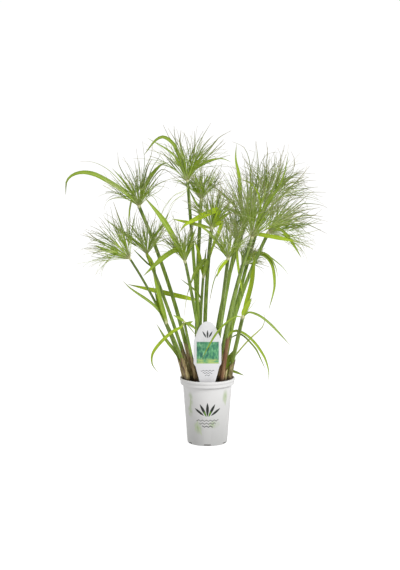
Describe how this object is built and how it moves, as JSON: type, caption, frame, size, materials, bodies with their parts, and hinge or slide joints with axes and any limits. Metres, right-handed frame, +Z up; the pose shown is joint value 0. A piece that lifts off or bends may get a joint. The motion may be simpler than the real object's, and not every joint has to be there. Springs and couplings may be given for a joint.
{
  "type": "potted umbrella sedge",
  "caption": "Umbrella sedge in a round white nursery pot: tall slender stems fan out from two crowns and end in tufts of fine rays with arching bracts.",
  "frame": {"origin": "centre of the pot's flat underside, on the surface it stands on", "axes": "+Z up, +X to the right and -Y towards the front, where the plant tag stands"},
  "size_m": [0.5162, 0.3932, 0.6302],
  "materials": {
    "pot": "white moulded plastic, satin",
    "soil": "dark potting mix of bark and peat, rough",
    "tag": "thin white plastic sheet, semi-gloss",
    "sheath": "dry brown leaf sheaths",
    "stem": "smooth green stem, satin",
    "leaf": "fresh green leaf, satin"
  },
  "bodies": {
    "root": {"basal_leaf_left_pale": "leaf", "basal_leaf_right_arching": "leaf", "basal_leaf_right_blade": "leaf", "basal_leaf_right_dried": "leaf", "basal_leaf_right_small": "leaf", "crown_left": "sheath", "crown_right": "sheath", "plant_tag": "tag", "pot": "pot", "soil": "soil", "stem_01": "stem", "stem_02": "stem", "stem_03": "stem", "stem_04": "stem", "stem_05": "stem", "stem_06": "stem", "stem_07": "stem", "stem_08": "stem", "stem_09": "stem", "stem_10": "stem", "stem_11": "stem", "stem_12": "stem", "stem_13": "stem", "stem_14": "stem", "stem_15": "stem", "stem_16": "stem", "stem_17": "stem", "stem_18": "stem", "stem_19": "stem", "umbel_01": "leaf", "umbel_02": "leaf", "umbel_03": "leaf", "umbel_04": "leaf", "umbel_06": "leaf", "umbel_07": "leaf", "umbel_08": "leaf", "umbel_09": "leaf", "umbel_10": "leaf", "umbel_11": "leaf", "umbel_12": "leaf", "umbel_13": "leaf", "umbel_14": "leaf", "umbel_19": "leaf", "young_shoot_05": "leaf", "young_shoot_15": "leaf", "young_shoot_16": "leaf", "young_shoot_17": "leaf", "young_shoot_18": "leaf"}
  },
  "joints": []
}
